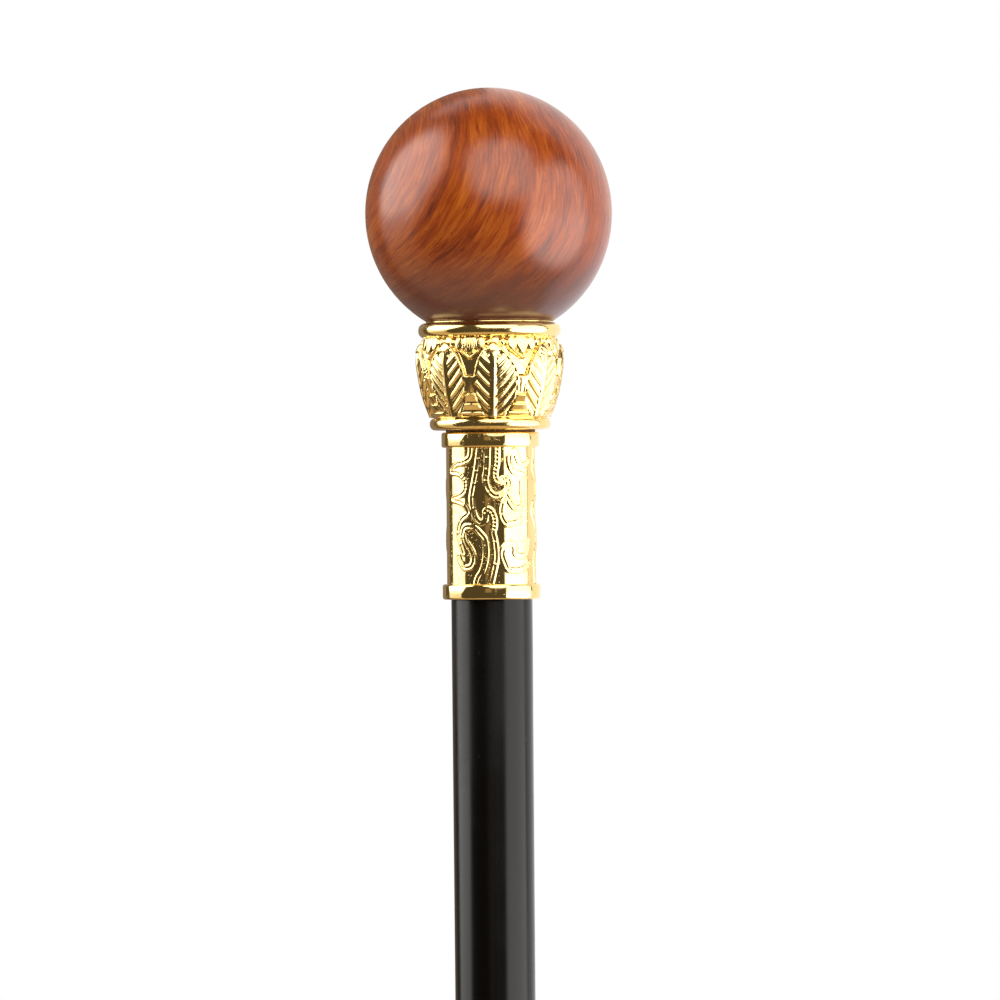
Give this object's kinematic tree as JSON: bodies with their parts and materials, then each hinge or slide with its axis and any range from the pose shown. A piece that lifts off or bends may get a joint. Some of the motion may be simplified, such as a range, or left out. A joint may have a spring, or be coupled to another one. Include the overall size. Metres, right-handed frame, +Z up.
{
  "type": "walking stick",
  "caption": "Straight walking stick with a round wooden knob, a gold leaf-relief collar, a scrolled gold sleeve, a black tapered shaft and a flared rubber tip.",
  "frame": {"origin": "on the floor under the middle of the rubber tip, with the stick upright", "axes": "+Z up along the stick's axis towards the knob, -Y the side that faces the viewer, with a leaf of the collar near it, +X to the viewer's right"},
  "size_m": [0.0554, 0.0554, 0.93],
  "materials": {
    "lacquered_wood": "gloss",
    "black_wood": "satin",
    "gold_plate": "polished",
    "plain_brass": "satin",
    "zinced_steel": "satin",
    "dark_fibre": "matte",
    "black_rubber": "matte"
  },
  "bodies": {
    "shaft": {"shaft": "black_wood", "shaft_bush": "plain_brass", "scroll_sleeve": "gold_plate", "sleeve_top_band": "gold_plate", "sleeve_bottom_band": "gold_plate"},
    "joint_washer": {"joint_washer": "dark_fibre"},
    "handle": {"knob_ball": "lacquered_wood", "knob_insert": "plain_brass", "leaf_collar": "gold_plate", "knob_stud": "zinced_steel", "stud_washer": "zinced_steel", "spring_washer": "zinced_steel", "stud_nut": "zinced_steel"},
    "tip": {"rubber_tip": "black_rubber", "tip_washer": "zinced_steel"}
  },
  "joints": [
    {"name": "handle_rise", "type": "slide", "parent": "shaft", "child": "joint_washer", "axis": [0, 0, 1], "range_m": [0, 0.01]},
    {"name": "handle_turn", "type": "hinge", "parent": "joint_washer", "child": "handle", "pos_m": [0, 0, 0.8533], "axis": [0, 0, 1], "range_deg": [0, 2880]},
    {"name": "tip_pull", "type": "slide", "parent": "shaft", "child": "tip", "axis": [0, 0, -1], "range_m": [0, 0.0375]}
  ],
  "couplings": [
    {"joint": "handle_rise", "follows": "handle_turn", "m_per_rad": 0.00019894}
  ]
}
